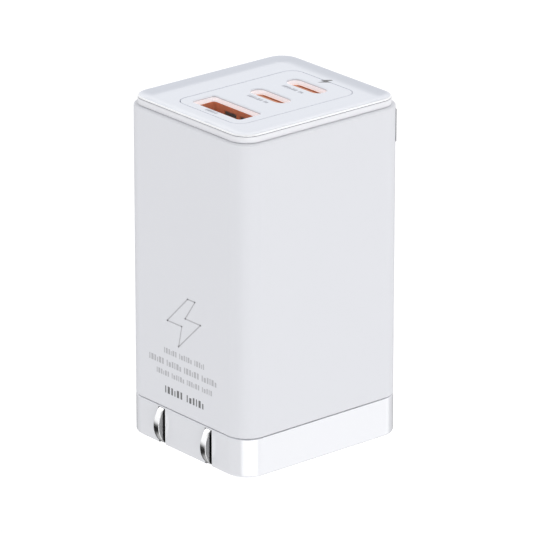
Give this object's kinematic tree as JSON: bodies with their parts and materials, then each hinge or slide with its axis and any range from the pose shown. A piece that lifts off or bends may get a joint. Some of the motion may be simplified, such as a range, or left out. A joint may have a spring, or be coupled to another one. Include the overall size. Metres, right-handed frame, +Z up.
{
  "type": "laptop power adapter",
  "caption": "Upright wall-plug power adapter with rounded corners, a folding flat-blade plug in its glossy base and charging sockets in its top cover.",
  "frame": {"origin": "centre of the flat bottom face of the base", "axes": "+Z up through the sockets, X along the row of prongs, -Y out of the face where the folded prong tips show"},
  "size_m": [0.032, 0.0373, 0.0616],
  "materials": {
    "housing_plastic": "fine satin spark texture",
    "base_plastic": "polished",
    "cover_plastic": "polished",
    "tag_metal": "satin",
    "prong_metal": "bright nickel plate",
    "inner_plastic": "moulded",
    "screw_steel": "zinc plate",
    "spring_steel": "rolled",
    "spring_brass": "rolled",
    "board_laminate": "solder resist",
    "socket_metal": "copper-coloured plate",
    "tongue_plastic": "moulded",
    "contact_gold": "gold flash",
    "ferrite": "sintered",
    "bobbin_plastic": "moulded",
    "winding_tape": "polyester tape over wire",
    "copper_wire": "enamelled",
    "can_sleeve": "shrink sleeve",
    "can_aluminium": "satin",
    "film_capacitor_case": "moulded",
    "disc_capacitor_coat": "dipped",
    "fuse_ceramic": "glazed",
    "chip_resin": "moulded",
    "inductor_case": "pressed powder",
    "heat_sheet": "rolled",
    "film_sheet": "film"
  },
  "bodies": {
    "charger": {"main_housing": "housing_plastic", "base_cap": "base_plastic", "top_cover": "cover_plastic", "port_panel": "cover_plastic", "trim_tag": "tag_metal", "hinge_retainer": "inner_plastic", "retainer_screws": "screw_steel", "detent_spring": "spring_steel", "contact_spring_left": "spring_brass", "contact_spring_right": "spring_brass", "input_board": "board_laminate", "main_board": "board_laminate", "port_board": "board_laminate", "usb_a_shell": "socket_metal", "usb_c1_shell": "socket_metal", "usb_c2_shell": "socket_metal", "usb_a_tongue": "tongue_plastic", "usb_c1_tongue": "tongue_plastic", "usb_c2_tongue": "tongue_plastic", "usb_a_contacts": "contact_gold", "usb_c1_contacts": "contact_gold", "usb_c2_contacts": "contact_gold", "transformer_core_inner": "ferrite", "transformer_core_outer": "ferrite", "choke_core": "ferrite", "transformer_bobbin": "bobbin_plastic", "transformer_winding": "winding_tape", "choke_windings": "copper_wire", "input_capacitors": "can_sleeve", "output_capacitors": "can_aluminium", "x_capacitor": "film_capacitor_case", "y_capacitor": "disc_capacitor_coat", "fuse": "fuse_ceramic", "bridge_rectifier": "chip_resin", "gan_transistor": "chip_resin", "controller_chip": "chip_resin", "rectifier_transistor": "chip_resin", "port_controllers": "chip_resin", "buck_inductors": "inductor_case", "heat_spreader": "heat_sheet", "insulating_film": "film_sheet"},
    "prongs": {"prong_left": "prong_metal", "prong_right": "prong_metal", "prong_carrier": "inner_plastic"}
  },
  "joints": [
    {"name": "prong_fold", "type": "hinge", "parent": "charger", "child": "prongs", "pos_m": [0, 0.0013, 0.0035], "axis": [1, 0, 0], "range_deg": [0, 90]}
  ]
}
